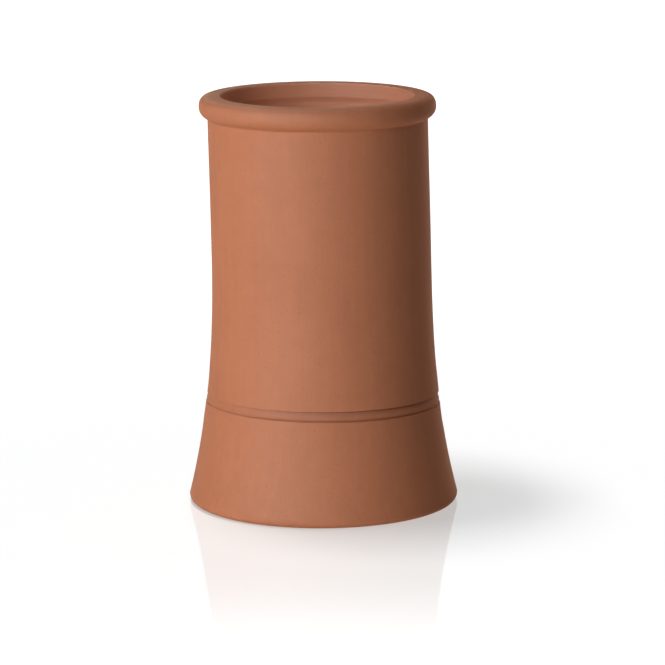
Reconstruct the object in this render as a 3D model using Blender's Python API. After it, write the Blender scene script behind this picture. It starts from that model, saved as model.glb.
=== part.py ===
"""Roll-top chimney pot in plain terracotta, one fired-clay piece, open from end to end.

A round barrel stands on a skirt that flares out to the foot. A low bead lies between two
sharp quirks where the skirt begins, cut deeper and a little wider on the right. The top is
rolled over into a thick round rim with a flat land, and the bore is a little wider below
the lip. The pot warped slightly in drying: the upper barrel leans to -X while the rim stays
level, and the bead runs a little higher at the front and left than at the back and right.

Metres, +Z up, origin at the centre of the foot.
"""

import math

import bmesh
import bpy
import numpy as np

# Overall
HEIGHT = 0.450
SEGMENTS = 72

# Barrel and flaring skirt, outside
BARREL_RADIUS = 0.1201
BARREL_TAPER = 0.0011
FLARE_HEIGHT = 0.2837
FLARE_SPREAD = 0.0291
FLARE_POWER = 2.57

# Clay thickness and the foot
BARREL_WALL = 0.0115
FOOT_WALL = 0.0170
FOOT_EDGE_RADIUS = 0.0075
FOOT_INNER_CHAMFER = 0.0030

# Rolled rim
ROLL_RADIUS = 0.0124
ROLL_REACH = 0.0091
ROLL_SQUARENESS = 2.6
COVE_RADIUS = 0.0022
MOUTH_RADIUS = 0.1055
LIP_DEPTH = 0.0160
LIP_EASE = 0.0050
LIP_EDGE_RADIUS = 0.0015

# Bead between its quirks, and how much deeper and wider they are cut at +X than on average
BEAD_CENTRE = 0.1157
BEAD_WIDTH = 0.0101
BEAD_SWELL = 0.0015
QUIRK_DEPTH = 0.0019
QUIRK_EDGE = 0.0006
BAND_DEEPER_RIGHT = 0.40
BAND_WIDER_RIGHT = 0.16

# Drying warp: the lean of the upper barrel to -X, and how far the bead is out of level
LEAN_START = 0.1780
LEAN = 0.0045
BEAD_UP_FRONT = 0.0027
BEAD_UP_LEFT = 0.0011

# How finely the curves are cut
BARREL_STEPS = 3
FLARE_STEPS = 6
SKIRT_STEPS = 6
BORE_STEPS = 10
BEAD_STEPS = 6
UNDER_ROLL_STEPS = 5
SHOULDER_STEPS = 8
EDGE_STEPS = 3

TERRACOTTA = (0.50, 0.205, 0.105, 1.0)
TERRACOTTA_ROUGHNESS = 0.85


def body_radius(z):
    """Outside of the plain body: a light taper, and below FLARE_HEIGHT a flare that
    grows as a power of the depth below it."""
    depth = np.clip((FLARE_HEIGHT - z) / FLARE_HEIGHT, 0.0, None)
    return (
        BARREL_RADIUS
        + BARREL_TAPER * (HEIGHT - z) / HEIGHT
        + FLARE_SPREAD * depth**FLARE_POWER
    )


def bore_radius(z):
    """Inside of the body: the clay thickens evenly from the start of the flare down."""
    share = np.clip((FLARE_HEIGHT - z) / FLARE_HEIGHT, 0.0, 1.0)
    return body_radius(z) - BARREL_WALL - (FOOT_WALL - BARREL_WALL) * share


def arc(centre, radius, start, end, steps):
    """Points on a circle in the (radius, height) plane, from one angle to the other."""
    angles = np.radians(np.linspace(start, end, steps + 1))
    return [
        (centre[0] + radius * math.cos(a), centre[1] + radius * math.sin(a))
        for a in angles
    ]


def curve(radius_at, z_from, z_to, steps):
    """Points of a radius that is a function of height, evenly spaced in height."""
    return [(float(radius_at(z)), z) for z in np.linspace(z_from, z_to, steps + 1)]


def foot_outline():
    """The foot: inner chamfer, flat ring that the pot stands on, and rounded outer edge."""
    inner = float(bore_radius(0.0))
    outer = float(body_radius(FOOT_EDGE_RADIUS))
    edge_centre = (outer - FOOT_EDGE_RADIUS, FOOT_EDGE_RADIUS)
    return [
        (inner, FOOT_INNER_CHAMFER),
        (inner + FOOT_INNER_CHAMFER, 0.0),
        *arc(edge_centre, FOOT_EDGE_RADIUS, -90, 0, EDGE_STEPS),
    ]


def bead_outline(cosine):
    """Lower quirk, bead and upper quirk, from the skirt's arris up to the barrel's. Both are
    cut deeper and wider towards +X, where the cosine of the turn is 1."""
    wider = 1.0 + BAND_WIDER_RIGHT * cosine
    deeper = 1.0 + BAND_DEEPER_RIGHT * cosine
    half = BEAD_WIDTH / 2 * wider
    across = np.linspace(-1.0, 1.0, BEAD_STEPS + 1)
    heights = BEAD_CENTRE + half * across
    radii = body_radius(heights) - deeper * (QUIRK_DEPTH - BEAD_SWELL * (1.0 - across**2))
    skirt_arris = BEAD_CENTRE - half - QUIRK_EDGE
    barrel_arris = BEAD_CENTRE + half + QUIRK_EDGE
    return [
        (float(body_radius(skirt_arris)), skirt_arris),
        *zip(radii.tolist(), heights.tolist()),
        (float(body_radius(barrel_arris)), barrel_arris),
    ]


def shoulder(centre, radius, steps):
    """The nosing from its side up to the flat land: a quarter of a superellipse, fuller than
    a quarter circle, with x^n + z^n = radius^n and n the squareness."""
    angles = np.radians(np.linspace(0.0, 90.0, steps + 1))
    across = np.clip(np.cos(angles), 0.0, None) ** (2.0 / ROLL_SQUARENESS)
    upward = np.sin(angles) ** (2.0 / ROLL_SQUARENESS)
    radii = centre[0] + radius * across
    heights = centre[1] + radius * upward
    return list(zip(radii.tolist(), heights.tolist()))


def roll_outline():
    """The rolled rim: a small cove under it, the round nosing, the land and the lip's edge."""
    neck = float(body_radius(HEIGHT - 2 * ROLL_RADIUS))
    centre = (neck + ROLL_REACH - ROLL_RADIUS, HEIGHT - ROLL_RADIUS)
    # The cove's circle touches the barrel outside and the nosing from below.
    reach = neck + COVE_RADIUS - centre[0]
    drop = math.sqrt((ROLL_RADIUS + COVE_RADIUS) ** 2 - reach**2)
    cove_centre = (neck + COVE_RADIUS, centre[1] - drop)
    meet = math.degrees(math.atan2(-drop, reach))
    lip_centre = (MOUTH_RADIUS + LIP_EDGE_RADIUS, HEIGHT - LIP_EDGE_RADIUS)
    return [
        *arc(cove_centre, COVE_RADIUS, 180, meet + 180, EDGE_STEPS),
        *arc(centre, ROLL_RADIUS, meet, 0, UNDER_ROLL_STEPS)[1:-1],
        *shoulder(centre, ROLL_RADIUS, SHOULDER_STEPS),
        *arc(lip_centre, LIP_EDGE_RADIUS, 90, 180, EDGE_STEPS),
    ]


def bore_outline():
    """Down the inside: the lip, its ease back to the barrel's bore, and the flaring bore."""
    lip_end = HEIGHT - LIP_DEPTH
    straight = curve(bore_radius, lip_end - LIP_EASE, FLARE_HEIGHT, BARREL_STEPS)
    flaring = curve(bore_radius, FLARE_HEIGHT, FOOT_INNER_CHAMFER, BORE_STEPS)
    return [(MOUTH_RADIUS, lip_end), *straight, *flaring[1:-1]]


def pot_outline(cosine):
    """The whole section as one closed loop, anticlockwise in the (radius, height) plane, for
    a turn with this cosine."""
    foot = foot_outline()
    bead = bead_outline(cosine)
    roll = roll_outline()
    skirt = curve(body_radius, foot[-1][1], bead[0][1], SKIRT_STEPS)[1:-1]
    flare = curve(body_radius, bead[-1][1], FLARE_HEIGHT, FLARE_STEPS)[1:]
    barrel = curve(body_radius, FLARE_HEIGHT, roll[0][1], BARREL_STEPS)[1:-1]
    return [*foot, *skirt, *bead, *flare, *barrel, *roll, *bore_outline()]


def lean_at(z):
    """How far the axis has moved to -X at a height: nothing up to LEAN_START, then a
    smooth start and a straight run to LEAN at the rim."""
    share = max(0.0, (z - LEAN_START) / (HEIGHT - LEAN_START))
    return -LEAN * share * share * (2.0 - share)


def rise_at(z, cosine, sine):
    """How far a point round the skirt has moved up: out of level at the bead, fading to
    nothing at the foot and where the flare begins."""
    wave = math.sin(math.pi * min(z / FLARE_HEIGHT, 1.0))
    fade = (wave / math.sin(math.pi * BEAD_CENTRE / FLARE_HEIGHT)) ** 2
    return -(BEAD_UP_LEFT * cosine + BEAD_UP_FRONT * sine) * fade


def turned_solid(name, outline_at):
    """A closed mesh turned about the pot's warped axis from closed outlines, one for each
    turn, all with the same number of points."""
    mesh = bpy.data.meshes.new(name)
    build = bmesh.new()
    rings = []
    for turn in np.linspace(0.0, 2.0 * math.pi, SEGMENTS, endpoint=False):
        cosine = math.cos(turn)
        sine = math.sin(turn)
        ring = []
        for radius, z in outline_at(cosine):
            x = radius * cosine + lean_at(z)
            y = radius * sine
            ring.append(build.verts.new((x, y, z + rise_at(z, cosine, sine))))
        rings.append(ring)
    count = len(rings[0])
    for here, there in zip(rings, rings[1:] + rings[:1]):
        for i in range(count):
            after = (i + 1) % count
            build.faces.new((here[i], there[i], there[after], here[after]))
    build.to_mesh(mesh)
    build.free()
    mesh.shade_smooth()
    mesh.set_sharp_from_angle(angle=math.radians(35))
    piece = bpy.data.objects.new(name, mesh)
    bpy.context.scene.collection.objects.link(piece)
    return piece


def terracotta():
    """Matt unglazed clay."""
    material = bpy.data.materials.new("terracotta")
    material.use_nodes = True
    shader = material.node_tree.nodes["Principled BSDF"]
    shader.inputs["Base Color"].default_value = TERRACOTTA
    shader.inputs["Roughness"].default_value = TERRACOTTA_ROUGHNESS
    shader.inputs["Metallic"].default_value = 0.0
    return material


def main():
    for leftover in list(bpy.data.objects):
        bpy.data.objects.remove(leftover)
    pot = turned_solid("chimney_pot", pot_outline)
    pot.data.materials.append(terracotta())


main()
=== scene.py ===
"""A terracotta roll-top chimney pot on a pale studio floor.

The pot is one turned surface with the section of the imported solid, cut finer, with softened
arrises and the slight unevenness of hand-finished clay. The clay's colour, roughness and
grain come from one node material.
"""

import math

import bpy
import numpy as np
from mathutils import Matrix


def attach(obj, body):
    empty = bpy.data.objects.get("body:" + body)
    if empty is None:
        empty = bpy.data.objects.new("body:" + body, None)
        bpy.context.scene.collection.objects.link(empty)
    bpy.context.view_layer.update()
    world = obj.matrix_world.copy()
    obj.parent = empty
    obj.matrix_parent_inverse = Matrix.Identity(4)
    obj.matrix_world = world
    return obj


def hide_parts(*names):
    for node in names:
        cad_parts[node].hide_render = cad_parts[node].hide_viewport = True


# Overall form, as in the solid
HEIGHT = 0.450
BARREL_RADIUS = 0.1201
BARREL_TAPER = 0.0011
FLARE_HEIGHT = 0.2837
FLARE_SPREAD = 0.0291
FLARE_POWER = 2.57
BARREL_WALL = 0.0115
FOOT_WALL = 0.0170
FOOT_EDGE_RADIUS = 0.0075
FOOT_INNER_CHAMFER = 0.0030
ROLL_RADIUS = 0.0124
ROLL_REACH = 0.0091
ROLL_SQUARENESS = 2.6
COVE_RADIUS = 0.0022
MOUTH_RADIUS = 0.1055
LIP_DEPTH = 0.0160
LIP_EDGE_RADIUS = 0.0015
BEAD_CENTRE = 0.1157
BEAD_WIDTH = 0.0101
BEAD_SWELL = 0.0015
QUIRK_DEPTH = 0.0019
QUIRK_EDGE = 0.0006
BAND_DEEPER_RIGHT = 0.40
BAND_WIDER_RIGHT = 0.16
LEAN_START = 0.1780
LEAN = 0.0045
BEAD_UP_FRONT = 0.0027
BEAD_UP_LEFT = 0.0011

# Finer than in the solid: the bead's crest below its middle, the long ease under the lip
BEAD_CREST = -0.27
BEAD_POWER_UP = 1.4
BEAD_POWER_DOWN = 2
LIP_EASE = 0.0072
LIP_EASE_POWER = 1.2
ARRIS_SOFTENING = 0.0003

# How many bead widths the widening of the band fades over, and how far under the land the
# inside begins
BAND_FADE = 4.0
LAND_EDGE = 0.0001

# How finely the section and the turn are cut
SEGMENTS = 400
BARREL_STEPS = 24
FLARE_STEPS = 30
SKIRT_STEPS = 26
BORE_STEPS = 28
UNDER_ROLL_STEPS = 24
SHOULDER_STEPS = 30
EDGE_STEPS = 5
EASE_STEPS = 8
LIP_ROWS = 4
LIP_ROWS_TOP = 0.006
LIP_ROWS_GAP = 0.0005
BAND_MARGIN = 0.0016
BAND_STEP = 0.0003
SHARP_ANGLE = 40

# Unevenness of the outer face, always inwards from the true section
UNEVEN_DEPTH = 0.00020
UNEVEN_WAVES = 14
UNEVEN_TURNS = (2, 14)
UNEVEN_CLIMB = 4.0
UNEVEN_SEED = 7
UNEVEN_FADE = 0.006

# Clay colours
CLAY_DARK = (0.475, 0.166, 0.076, 1.0)
CLAY_LIGHT = (0.535, 0.191, 0.090, 1.0)
IRON_SPECK = (0.20, 0.065, 0.035, 1.0)
PALE_GROG = (0.62, 0.30, 0.17, 1.0)
# Pale tint on the land: partly dry bloom, partly painted sheen where the land catches light at
# a grazing angle
BLOOM_AND_SHEEN = (0.80, 0.48, 0.33, 1.0)
INNER_DUST = (0.62, 0.42, 0.32, 1.0)
# Darker clay towards the foot
FOOT_DARKENING = (0.16, 0.07, 0.045, 1.0)
# Painted shade laid into the band's quirks and recess
QUIRK_SHADE = (0.24, 0.090, 0.048, 1.0)

# Noise cells to a metre of clay, and how drag marks are drawn out
CLOUD_SCALE = 11.0
MOTTLE_SCALE = 70.0
STREAK_SCALE = 150.0
TURNING_SCALE = 320.0
GROG_SCALE = 380.0
PINHOLE_SCALE = 480.0
SPECK_SCALE = 620.0
GRAIN_SCALE = 900.0
DRAWN_UP = (1.0, 1.0, 0.05)
DRAWN_ROUND = (0.06, 0.06, 1.0)

# Where on the clay the marks lie, and how strongly they show
MIDDLING = (0.30, 0.70)
CLOUD_EDGES = (0.25, 0.75)
SPARSE = (0.68, 0.76)
RARE = (0.74, 0.82)
# Where the land's pale tint lies and how strong it is: partly bloom, partly painted sheen,
# stronger to the left as painted light from that side
BLOOM_AND_SHEEN_HEIGHTS = (HEIGHT - 0.0035, HEIGHT - 0.0005)
BLOOM_AND_SHEEN_SHARE = 0.11
PAINTED_LIGHT_MORE_LEFT = 0.9
SPECK_SHARE = 0.28
GROG_SHARE = 0.15
DUST_SHARE = 0.14
# How strongly the foot is darkened, and how high up
FOOT_DARKENING_SHARE = 0.35
FOOT_DARKENING_HEIGHTS = (0.0, 0.006)
# Painted shade in the band: where in the recess it lies, how strongly it shows, and how it
# fades towards the sides
IN_BAND = (0.0, 0.22)
IN_QUIRKS = (0.25, 1.1)
BAND_SHADE_SHARE = 0.24
QUIRK_SHADE_SHARE = 0.42
SHADE_FADE_SIDEWAYS = 55.0
CLAY_ROUGHNESS = 0.60
CLAY_GLOSS = 0.10
RELIEF_STRENGTH = 0.35
RELIEF_DEPTH = 0.0004

# The floor's glow and gloss, and the lamp above it
FLOOR_HALF = 9.0
FLOOR_MATT = 0.30
FLOOR_GLOW = 0.563
FLOOR_TINT = (1.025, 1.0, 0.985)
FAR_FLOOR = (0.45, 1.3)
FAR_FLOOR_GLOW = 0.3
FLOOR_GLOSS = 0.215
FLOOR_GLOSS_TINT = (0.84, 0.96, 1.0, 1.0)
FLOOR_GLOSS_ROUGHNESS = 0.04
FLOOR_GLOSS_ENDS = (0.30, 0.67)
FLOOR_LAMP_LEVEL = 1.543
FLOOR_LAMP_FOOT = (-0.191, 0.033, 0.0)
FLOOR_LAMP_HEIGHT = 1.34
FLOOR_LAMP_SIZE = (0.38, 0.22)

# The pot's lights: name, (azimuth, elevation, distance), (width, height), level, what they
# are aimed at, and the kinds of ray that don't see them
MIDDLE = (0.0, 0.0, 0.22)
SKIRT = (0.0, 0.0, 0.03)
MOUTH = (0.0, 0.0, HEIGHT)
POT_LIGHTS = (
    ("key", (-44, 24, 3.0), (1.3, 1.3), 0.255, MIDDLE, ["glossy"]),
    ("front", (-25, 24, 3.0), (1.3, 1.3), 0.30, MIDDLE, ["glossy"]),
    ("low", (14, 0, 0.40), (0.16, 0.05), 0.0152, SKIRT, ["camera", "glossy"]),
    ("side", (-90, 22, 3.0), (1.6, 2.0), 0.20, MIDDLE, ["glossy"]),
    ("bounce", (-40, -50, 3.0), (2.6, 1.6), 0.48, MIDDLE, ["glossy"]),
    ("sheen", (-40, 24, 3.0), (1.3, 1.3), 6.0, MIDDLE, ["diffuse"]),
    ("flue", (0, -90, 0.15), (0.14, 0.14), 0.16, MOUTH, ["camera", "glossy"]),
    ("back", (150, 6, 3.0), (2.0, 1.2), 0.40, MIDDLE, ["glossy"]),
)
FILL_COLOUR = (1.0, 0.96, 0.9, 1.0)
FILL_STRENGTH = 0.12

# The photo's camera, with its focal length in the photo's pixels
IMAGE_WIDTH = 665
FOCAL_PIXELS = 3615.0
SENSOR = 36.0
CAMERA_PLACE = (0.01079, -3.907, 0.950)
CAMERA_PITCH = 11.06
CAMERA_ROLL = 0.30


def body_radius(z):
    """Outside of the plain body: a light taper, and below FLARE_HEIGHT a flare that
    grows as a power of the depth below it."""
    depth = np.clip((FLARE_HEIGHT - z) / FLARE_HEIGHT, 0.0, None)
    return (
        BARREL_RADIUS
        + BARREL_TAPER * (HEIGHT - z) / HEIGHT
        + FLARE_SPREAD * depth**FLARE_POWER
    )


def bore_radius(z):
    """Inside of the body: the clay thickens evenly from the start of the flare down."""
    share = np.clip((FLARE_HEIGHT - z) / FLARE_HEIGHT, 0.0, 1.0)
    return body_radius(z) - BARREL_WALL - (FOOT_WALL - BARREL_WALL) * share


def band_depth(z):
    """How far the bead and its quirks lie inside the plain body: full depth at each quirk,
    least at the bead's crest, which lies below the middle, and a short steep wall up to each
    arris. From the crest the depth grows as one power of the way up to the upper quirk, and
    as another of the way down to the lower one."""
    half = BEAD_WIDTH / 2
    across = np.abs(z - BEAD_CENTRE)
    from_crest = (z - BEAD_CENTRE) / half - BEAD_CREST
    above = np.clip(from_crest / (1.0 - BEAD_CREST), 0.0, 1.0)
    below = np.clip(-from_crest / (1.0 + BEAD_CREST), 0.0, 1.0)
    swell = 1.0 - above**BEAD_POWER_UP - below**BEAD_POWER_DOWN
    on_wall = np.clip(1.0 - (across - half) / QUIRK_EDGE, 0.0, 1.0)
    return np.where(across < half, QUIRK_DEPTH - BEAD_SWELL * swell, QUIRK_DEPTH * on_wall)


def softened(depth_at, z, reach):
    """A depth averaged over a short reach of height each way, which rounds its corners. The
    weights fall off as a squared cosine that reaches 0 just past the ends."""
    samples = 9
    past_ends = 1.15
    offsets = np.linspace(-reach, reach, samples)
    weights = np.cos(0.5 * np.pi * offsets / (past_ends * reach)) ** 2
    depths = [weight * depth_at(z + offset) for weight, offset in zip(weights, offsets)]
    return sum(depths) / weights.sum()


def points(radii, heights):
    """Radii and heights as rows of (radius, height)."""
    return np.column_stack(np.broadcast_arrays(radii, heights)).astype(float)


def arc(centre, radius, start, end, steps):
    """Points on a circle in the (radius, height) plane, from one angle to the other."""
    angles = np.radians(np.linspace(start, end, steps + 1))
    return points(centre[0] + radius * np.cos(angles), centre[1] + radius * np.sin(angles))


def shoulder(centre, radius, squareness, steps):
    """A quarter of a superellipse from the side of the nosing up to its flat top: like a
    quarter circle, but fuller, as x^n + z^n = radius^n with n the squareness."""
    angles = np.radians(np.linspace(0.0, 90.0, steps + 1))
    across = np.clip(np.cos(angles), 0.0, None) ** (2.0 / squareness)
    upward = np.sin(angles) ** (2.0 / squareness)
    return points(centre[0] + radius * across, centre[1] + radius * upward)


def outer_section():
    """From the foot's underside up the outside to where the flare ends: the foot's rounded
    edge, the skirt, the band of bead and quirks in short even steps, and the flare."""
    outer = body_radius(FOOT_EDGE_RADIUS)
    edge_centre = (outer - FOOT_EDGE_RADIUS, FOOT_EDGE_RADIUS)
    band_low = BEAD_CENTRE - BEAD_WIDTH / 2 - QUIRK_EDGE - BAND_MARGIN
    band_high = BEAD_CENTRE + BEAD_WIDTH / 2 + QUIRK_EDGE + BAND_MARGIN
    skirt = np.linspace(FOOT_EDGE_RADIUS, band_low, SKIRT_STEPS + 1)[1:-1]
    band = np.linspace(band_low, band_high, round((band_high - band_low) / BAND_STEP) + 1)
    flare = np.linspace(band_high, FLARE_HEIGHT, FLARE_STEPS + 1)[1:]
    return np.vstack(
        [
            arc(edge_centre, FOOT_EDGE_RADIUS, -90, 0, EDGE_STEPS),
            points(body_radius(skirt), skirt),
            points(body_radius(band), band),
            points(body_radius(flare), flare),
        ]
    )


def roll_section():
    """The small cove under the roll, the round nosing, the land and the lip's edge. The
    cove's circle touches the barrel outside and the nosing from below."""
    neck = float(body_radius(HEIGHT - 2 * ROLL_RADIUS))
    centre = (neck + ROLL_REACH - ROLL_RADIUS, HEIGHT - ROLL_RADIUS)
    reach = neck + COVE_RADIUS - centre[0]
    drop = math.sqrt((ROLL_RADIUS + COVE_RADIUS) ** 2 - reach**2)
    cove_centre = (neck + COVE_RADIUS, centre[1] - drop)
    meet = math.degrees(math.atan2(-drop, reach))
    lip_centre = (MOUTH_RADIUS + LIP_EDGE_RADIUS, HEIGHT - LIP_EDGE_RADIUS)
    return np.vstack(
        [
            arc(cove_centre, COVE_RADIUS, 180, meet + 180, EDGE_STEPS),
            arc(centre, ROLL_RADIUS, meet, 0, UNDER_ROLL_STEPS)[1:-1],
            shoulder(centre, ROLL_RADIUS, ROLL_SQUARENESS, SHOULDER_STEPS),
            arc(lip_centre, LIP_EDGE_RADIUS, 90, 180, EDGE_STEPS),
        ]
    )


def inner_section():
    """Down the inside from the lip to the foot's inner chamfer. Below the lip the wall steps
    back to the bore as 1 - (1 - t)^p, steepest at the lip, with p the ease's power."""
    lip_end = HEIGHT - LIP_DEPTH
    ease_end = lip_end - LIP_EASE
    lip = np.linspace(HEIGHT - LIP_ROWS_TOP, lip_end + LIP_ROWS_GAP, LIP_ROWS)
    ease = np.linspace(0.0, 1.0, EASE_STEPS + 1)[1:-1]
    step_back = float(bore_radius(ease_end)) - MOUTH_RADIUS
    eased = MOUTH_RADIUS + step_back * (1.0 - (1.0 - ease) ** LIP_EASE_POWER)
    bore = np.linspace(ease_end, FOOT_INNER_CHAMFER, BORE_STEPS + 1)
    ledge = float(bore_radius(0.0)) + FOOT_INNER_CHAMFER
    return np.vstack(
        [
            points(MOUTH_RADIUS, lip),
            points(MOUTH_RADIUS, lip_end),
            points(eased, lip_end - LIP_EASE * ease),
            points(bore_radius(bore), bore),
            points(ledge, 0.0),
        ]
    )


def unevenness(turn, z):
    """A smooth field from 0 to 1 round and up the pot: the mean of several waves, each with
    a whole number of turns round the pot, its own number up it, and its own start."""
    chance = np.random.default_rng(UNEVEN_SEED)
    total = np.zeros(np.broadcast(turn, z).shape)
    for _ in range(UNEVEN_WAVES):
        around = chance.integers(*UNEVEN_TURNS)
        upward = chance.uniform(-UNEVEN_CLIMB, UNEVEN_CLIMB)
        start = chance.uniform(0.0, 2.0 * math.pi)
        total += np.sin(around * turn + 2.0 * math.pi * upward * z / HEIGHT + start)
    return 0.5 + 0.5 * np.tanh(total / math.sqrt(UNEVEN_WAVES))


def fade(z, low, high):
    """0 below low, 1 above high, and a smooth step between."""
    share = np.clip((z - low) / (high - low), 0.0, 1.0)
    return share * share * (3.0 - 2.0 * share)


def let_in(turn, z, on_outside):
    """How far the hand finish lies inside the true section: the uneven field on the outer
    face, fading out at the foot's edge and at the land."""
    depth = UNEVEN_DEPTH * unevenness(turn, z)
    depth = depth * np.where(on_outside, fade(z, 0.0, UNEVEN_FADE), 0.0)
    return depth * (1.0 - fade(z, HEIGHT - UNEVEN_FADE, HEIGHT))


def lean_at(z):
    """How far the axis has moved sideways at a height: nothing up to LEAN_START, then a
    smooth start and a straight run to LEAN at the rim."""
    share = np.clip((z - LEAN_START) / (HEIGHT - LEAN_START), 0.0, None)
    return -LEAN * share * share * (2.0 - share)


def rise_at(turn, z, on_outside):
    """How far a point has moved up: out of level at the bead, as a squared half wave from
    the foot to where the flare ends, and spread away from the bead's middle on the right."""
    wave = np.sin(math.pi * np.clip(z / FLARE_HEIGHT, 0.0, 1.0))
    level_fade = (wave / math.sin(math.pi * BEAD_CENTRE / FLARE_HEIGHT)) ** 2
    tilt = -(BEAD_UP_LEFT * np.cos(turn) + BEAD_UP_FRONT * np.sin(turn)) * level_fade
    near_band = 1.0 - fade(np.abs(z - BEAD_CENTRE), BEAD_WIDTH, BAND_FADE * BEAD_WIDTH)
    wider = BAND_WIDER_RIGHT * np.cos(turn) * (z - BEAD_CENTRE) * near_band
    return tilt + wider * on_outside


def marked(mesh, name, values):
    """A named number on each point of a mesh, for its material."""
    mark = mesh.attributes.new(name, "FLOAT", "POINT")
    mark.data.foreach_set("value", values.astype(np.float32).ravel())


def placed(name, mesh):
    """An object for a mesh, in the scene."""
    piece = bpy.data.objects.new(name, mesh)
    bpy.context.scene.collection.objects.link(piece)
    return piece


def pot_surface(name):
    """The pot as one closed surface: its section carried round the warped axis as
    (r cos a + lean, r sin a, z + rise), with the outer face let in slightly and unevenly and
    the band cut into it."""
    outside = outer_section()
    roll = roll_section()
    inner = inner_section()
    barrel = np.linspace(FLARE_HEIGHT, roll[0, 1], BARREL_STEPS + 1)[1:-1]
    section = np.vstack([outside, points(body_radius(barrel), barrel), roll, inner])
    radii = section[:, :1]
    heights = section[:, 1:]
    turn = np.linspace(0.0, 2.0 * math.pi, SEGMENTS, endpoint=False)[None, :]

    lip_edge_rows = EDGE_STEPS + 1
    outer_rows = len(section) - len(inner) - lip_edge_rows
    on_outside = np.arange(len(section))[:, None] < outer_rows
    deeper = 1.0 + BAND_DEEPER_RIGHT * np.cos(turn)
    cut = softened(band_depth, heights, ARRIS_SOFTENING) * on_outside * deeper
    radius = radii - let_in(turn, heights, on_outside) - cut
    place = np.stack(
        [
            radius * np.cos(turn) + lean_at(heights),
            radius * np.sin(turn),
            heights + rise_at(turn, heights, on_outside),
        ],
        axis=-1,
    )

    here = np.arange(len(section) * SEGMENTS).reshape(len(section), SEGMENTS)
    beside = np.roll(here, -1, axis=1)
    corners = [here, beside, np.roll(beside, -1, axis=0), np.roll(here, -1, axis=0)]
    faces = np.stack(corners, axis=-1)
    mesh = bpy.data.meshes.new(name)
    mesh.from_pydata(place.reshape(-1, 3), [], faces.reshape(-1, 4).tolist())
    mesh.shade_smooth()
    mesh.set_sharp_from_angle(angle=math.radians(SHARP_ANGLE))

    below_land = heights < HEIGHT - LAND_EDGE
    marked(mesh, "inside", (~on_outside & below_land) * np.ones_like(turn))
    # The band's cut depth, which the material uses to lay painted shade in the recess
    marked(mesh, "recess", cut / QUIRK_DEPTH)
    return placed(name, mesh)


class Value:
    """One output in a material's node tree. Arithmetic on it adds Math nodes."""

    def __init__(self, graph, socket):
        self.graph = graph
        self.socket = socket

    def maths(self, operation, *others):
        """A Math node on this number and the others."""
        inputs = dict(enumerate((self, *others)))
        return self.graph.add("ShaderNodeMath", {"operation": operation}, inputs)

    def __add__(self, other):
        return self.maths("ADD", other)

    def __radd__(self, other):
        return self.maths("ADD", other)

    def __sub__(self, other):
        return self.maths("SUBTRACT", other)

    def __rsub__(self, other):
        return self.graph.add("ShaderNodeMath", {"operation": "SUBTRACT"}, {0: other, 1: self})

    def __mul__(self, other):
        return self.maths("MULTIPLY", other)

    def __rmul__(self, other):
        return self.maths("MULTIPLY", other)

    def between(self, low, high):
        """0 where this is low, 1 where it is high, and a smooth step between."""
        return self.graph.add(
            "ShaderNodeMapRange",
            {"interpolation_type": "SMOOTHSTEP"},
            {"Value": self, "From Min": low, "From Max": high},
        )


class Graph:
    """The node tree of one material, with short calls that add to it."""

    def __init__(self, name):
        self.material = bpy.data.materials.new(name)
        self.material.use_nodes = True
        self.tree = self.material.node_tree
        self.shader = self.tree.nodes["Principled BSDF"]

    def feed(self, socket, value):
        """A value or a link into an input."""
        if isinstance(value, Value):
            self.tree.links.new(value.socket, socket)
        else:
            socket.default_value = value

    def shade(self, inputs):
        """Values or links into the inputs of the material's own shader."""
        for name, value in inputs.items():
            self.feed(self.shader.inputs[name], value)

    def add(self, kind, settings=None, inputs=None, output=0):
        """A new node of this kind: settings first, then values or links into its inputs."""
        node = self.tree.nodes.new(kind)
        for name, value in (settings or {}).items():
            setattr(node, name, value)
        for key, value in (inputs or {}).items():
            self.feed(node.inputs[key], value)
        return Value(self, node.outputs[output])

    def place(self):
        """Where a point is on the piece."""
        return self.add("ShaderNodeTexCoord", output="Object")

    def along(self, vector, axis):
        """One part of a vector."""
        return self.add("ShaderNodeSeparateXYZ", inputs={0: vector}, output=axis)

    def mark(self, name):
        """A number kept on the mesh's points."""
        return self.add("ShaderNodeAttribute", {"attribute_name": name}, output="Fac")

    def stretched(self, vector, factors):
        """A vector multiplied along each axis."""
        return self.add(
            "ShaderNodeVectorMath", {"operation": "MULTIPLY"}, {0: vector, 1: factors}
        )

    def length(self, vector):
        """How long a vector is."""
        return self.add(
            "ShaderNodeVectorMath", {"operation": "LENGTH"}, {0: vector}, output="Value"
        )

    def noise(self, vector, scale, detail, roughness=0.5):
        """Smooth noise from about 0 to 1."""
        return self.add(
            "ShaderNodeTexNoise",
            {"noise_dimensions": "3D"},
            {"Vector": vector, "Scale": scale, "Detail": detail, "Roughness": roughness},
        )

    def mixed(self, share, first, second):
        """A colour between two colours."""
        return self.add(
            "ShaderNodeMix",
            {"data_type": "RGBA"},
            {"Factor": share, 6: first, 7: second},
            output=2,
        )


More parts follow.
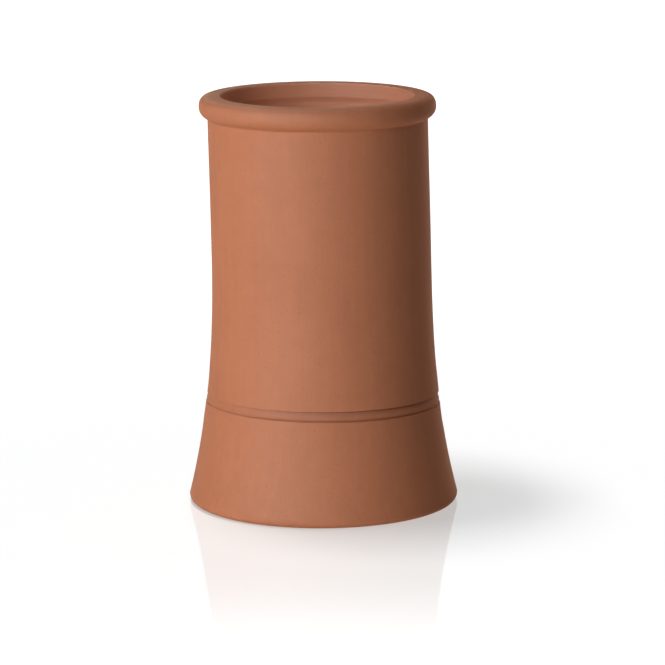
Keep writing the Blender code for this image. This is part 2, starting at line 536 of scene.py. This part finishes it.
def terracotta():
    """Matt fired clay: soft clouds and drag streaks of lighter and darker clay, fine grog
    and grain, sparse iron specks and pinholes, a pale tint on the land that is partly dry
    bloom and partly painted sheen, stronger to the left as painted light, dust inside,
    darker clay towards the foot, and painted shade in the quirks and the band's recess,
    less towards the sides."""
    graph = Graph("terracotta")
    place = graph.place()
    rightward = graph.along(place, "X")
    upward = graph.along(place, "Z")
    inside = graph.mark("inside")
    recess = graph.mark("recess")

    clouds = graph.noise(place, CLOUD_SCALE, 3.0)
    mottle = graph.noise(place, MOTTLE_SCALE, 3.0)
    streaks = graph.noise(graph.stretched(place, DRAWN_UP), STREAK_SCALE, 3.0)
    turning = graph.noise(graph.stretched(place, DRAWN_ROUND), TURNING_SCALE, 2.0)
    drag = streaks * (1.0 - inside) + turning * inside
    grain = graph.noise(place, GRAIN_SCALE, 3.0, 0.6)
    grog = graph.noise(place, GROG_SCALE, 1.0).between(*SPARSE)
    specks = graph.noise(place, SPECK_SCALE, 0.0).between(*RARE)
    pinholes = graph.noise(place, PINHOLE_SCALE, 0.0).between(*RARE)

    tone = clouds * 0.30 + mottle * 0.25 + drag * 0.25 + grain * 0.20
    clay = graph.mixed(tone.between(*MIDDLING), CLAY_DARK, CLAY_LIGHT)
    clay = graph.mixed(specks * SPECK_SHARE, clay, IRON_SPECK)
    clay = graph.mixed(grog * GROG_SHARE, clay, PALE_GROG)

    # Painted sheen and dry bloom on the land, with painted light stronger to the left
    bloom_and_sheen = upward.between(*BLOOM_AND_SHEEN_HEIGHTS) * (clouds.between(*CLOUD_EDGES) + 1.0)
    clay = graph.mixed(bloom_and_sheen * (BLOOM_AND_SHEEN_SHARE - rightward * PAINTED_LIGHT_MORE_LEFT), clay, BLOOM_AND_SHEEN)
    clay = graph.mixed(inside * DUST_SHARE, clay, INNER_DUST)
    # Darker clay towards the foot
    foot_darkening = (1.0 - upward.between(*FOOT_DARKENING_HEIGHTS)) * mottle.between(*MIDDLING)
    clay = graph.mixed(foot_darkening * FOOT_DARKENING_SHARE, clay, FOOT_DARKENING)
    # Painted shade in the quirks and the band's recess, fading towards the sides
    in_band = recess.between(*IN_BAND) * BAND_SHADE_SHARE
    in_quirks = recess.between(*IN_QUIRKS) * QUIRK_SHADE_SHARE
    at_middle = 1.0 - rightward * rightward * SHADE_FADE_SIDEWAYS
    clay = graph.mixed((in_band + in_quirks) * at_middle, clay, QUIRK_SHADE)

    height = drag * 0.4 + grain * 0.35 + mottle * 0.3 - pinholes * 0.6
    relief = graph.add(
        "ShaderNodeBump",
        inputs={"Strength": RELIEF_STRENGTH, "Distance": RELIEF_DEPTH, "Height": height},
    )
    graph.shade(
        {
            "Base Color": clay,
            "Roughness": CLAY_ROUGHNESS + grain * 0.12 + mottle * 0.05,
            "Normal": relief,
            "Specular IOR Level": CLAY_GLOSS,
        }
    )
    return graph.material


def floor_material():
    """A pale backlit table top with a faint gloss that fades away in front of the pot. Its
    glow makes up for the floor lamp's fall-off, 1 / (1 + (r / h)^2)^2 with r the distance
    from the lamp's foot and h its height, so the lit floor is evenly white."""
    graph = Graph("pale_floor")
    place = graph.place()
    front = graph.along(place, "Y") * -1.0
    from_lamp = graph.add(
        "ShaderNodeVectorMath", {"operation": "SUBTRACT"}, {0: place, 1: FLOOR_LAMP_FOOT}
    )
    spread = graph.length(from_lamp) * (1.0 / FLOOR_LAMP_HEIGHT)
    falloff = (spread * spread + 1.0).maths("POWER", -2.0)
    made_up = (1.0 - falloff) * (FLOOR_MATT * FLOOR_LAMP_LEVEL)
    far = graph.length(place).between(*FAR_FLOOR)
    glow = FLOOR_GLOW + made_up + far * FAR_FLOOR_GLOW
    tinted = dict(enumerate(glow * part for part in FLOOR_TINT))
    graph.shade(
        {
            "Base Color": (FLOOR_MATT, FLOOR_MATT, FLOOR_MATT, 1.0),
            "Roughness": 1.0,
            "Specular IOR Level": 0.0,
            "Emission Strength": 1.0,
            "Emission Color": graph.add("ShaderNodeCombineColor", inputs=tinted),
        }
    )

    gloss = graph.add(
        "ShaderNodeBsdfGlossy",
        inputs={"Color": FLOOR_GLOSS_TINT, "Roughness": FLOOR_GLOSS_ROUGHNESS},
    )
    share = (1.0 - front.between(*FLOOR_GLOSS_ENDS)) * FLOOR_GLOSS
    matt = Value(graph, graph.shader.outputs[0])
    blend = graph.add("ShaderNodeMixShader", inputs={0: share, 1: matt, 2: gloss})
    graph.feed(graph.tree.nodes["Material Output"].inputs["Surface"], blend)
    return graph.material


def studio_floor():
    """One large flat square that throws no light back on the pot."""
    half = FLOOR_HALF
    mesh = bpy.data.meshes.new("floor")
    corners = [(-half, -half, 0.0), (half, -half, 0.0), (half, half, 0.0), (-half, half, 0.0)]
    mesh.from_pydata(corners, [], [(0, 1, 2, 3)])
    mesh.materials.append(floor_material())
    floor = placed("floor", mesh)
    floor.visible_diffuse = False
    return floor


def soft_light(name, stand, size, level, aim, unseen_by=(), only=None, blockers=None):
    """A rectangular soft light. It stands at an azimuth, an elevation and a distance from
    its aim, with azimuth 0 on the camera's side and growing to the right. The level is what
    it adds to a white matt card that faces it at the aim."""
    azimuth, elevation, distance = stand
    light = bpy.data.lights.new(name, "AREA")
    light.shape = "RECTANGLE"
    light.size, light.size_y = size
    light.energy = level * (math.pi * distance) ** 2
    lamp = placed(name, light)
    turn = math.radians(azimuth)
    rise = math.radians(elevation)
    lamp.location = (
        aim[0] + distance * math.sin(turn) * math.cos(rise),
        aim[1] - distance * math.cos(turn) * math.cos(rise),
        aim[2] + distance * math.sin(rise),
    )
    lamp.rotation_euler = (math.radians(90) - rise, 0.0, turn)
    for ray in unseen_by:
        setattr(lamp, "visible_" + ray, False)
    if only:
        lit = bpy.data.collections.new(name + " lights")
        lit.objects.link(only)
        lamp.light_linking.receiver_collection = lit
    if blockers:
        shading = bpy.data.collections.new(name + " blockers")
        shading.objects.link(blockers)
        lamp.light_linking.blocker_collection = shading


def lights(pot, floor):
    """The pot's own soft lights, and the lamp that casts its shadow on the floor."""
    for name, stand, size, level, aim, unseen_by in POT_LIGHTS:
        soft_light(name, stand, size, level, aim, unseen_by, only=pot, blockers=pot)
    overhead = (-90, 90, FLOOR_LAMP_HEIGHT)
    soft_light(
        "floor light", overhead, FLOOR_LAMP_SIZE, FLOOR_LAMP_LEVEL, FLOOR_LAMP_FOOT, only=floor
    )


def backdrop():
    """A white surround, as the camera and reflections see it, that fills the shadows only a
    little."""
    world = bpy.data.worlds.new("studio")
    world.use_nodes = True
    bpy.context.scene.world = world
    tree = world.node_tree
    fill = tree.nodes["Background"]
    fill.inputs["Color"].default_value = FILL_COLOUR
    fill.inputs["Strength"].default_value = FILL_STRENGTH
    white = tree.nodes.new("ShaderNodeBackground")
    white.inputs["Strength"].default_value = 1.0
    path = tree.nodes.new("ShaderNodeLightPath")
    mix = tree.nodes.new("ShaderNodeMixShader")
    seen = tree.nodes.new("ShaderNodeMath")
    seen.operation = "MAXIMUM"
    tree.links.new(path.outputs["Is Camera Ray"], seen.inputs[0])
    tree.links.new(path.outputs["Is Glossy Ray"], seen.inputs[1])
    tree.links.new(seen.outputs[0], mix.inputs[0])
    tree.links.new(fill.outputs[0], mix.inputs[1])
    tree.links.new(white.outputs[0], mix.inputs[2])
    tree.links.new(mix.outputs[0], tree.nodes["World Output"].inputs["Surface"])


def camera():
    """The photo's camera: a long lens, a little above the pot and looking down on it."""
    lens = bpy.data.cameras.new("camera")
    lens.sensor_width = SENSOR
    lens.lens = FOCAL_PIXELS / IMAGE_WIDTH * SENSOR
    eye = placed("camera", lens)
    eye.location = CAMERA_PLACE
    eye.rotation_mode = "ZYX"
    eye.rotation_euler = (math.radians(90 - CAMERA_PITCH), 0.0, math.radians(-CAMERA_ROLL))
    bpy.context.scene.camera = eye


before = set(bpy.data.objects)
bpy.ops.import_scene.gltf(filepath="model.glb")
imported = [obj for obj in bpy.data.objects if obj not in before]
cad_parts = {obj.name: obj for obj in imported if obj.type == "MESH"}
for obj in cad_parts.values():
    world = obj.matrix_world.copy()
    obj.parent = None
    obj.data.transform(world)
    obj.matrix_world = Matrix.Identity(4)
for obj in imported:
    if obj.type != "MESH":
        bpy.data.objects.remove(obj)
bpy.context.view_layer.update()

pot = pot_surface("clay_pot")
pot.data.materials.append(terracotta())
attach(pot, "root")
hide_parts("chimney_pot")

floor = studio_floor()
backdrop()
lights(pot, floor)
camera()
bpy.context.scene.view_settings.view_transform = "Standard"
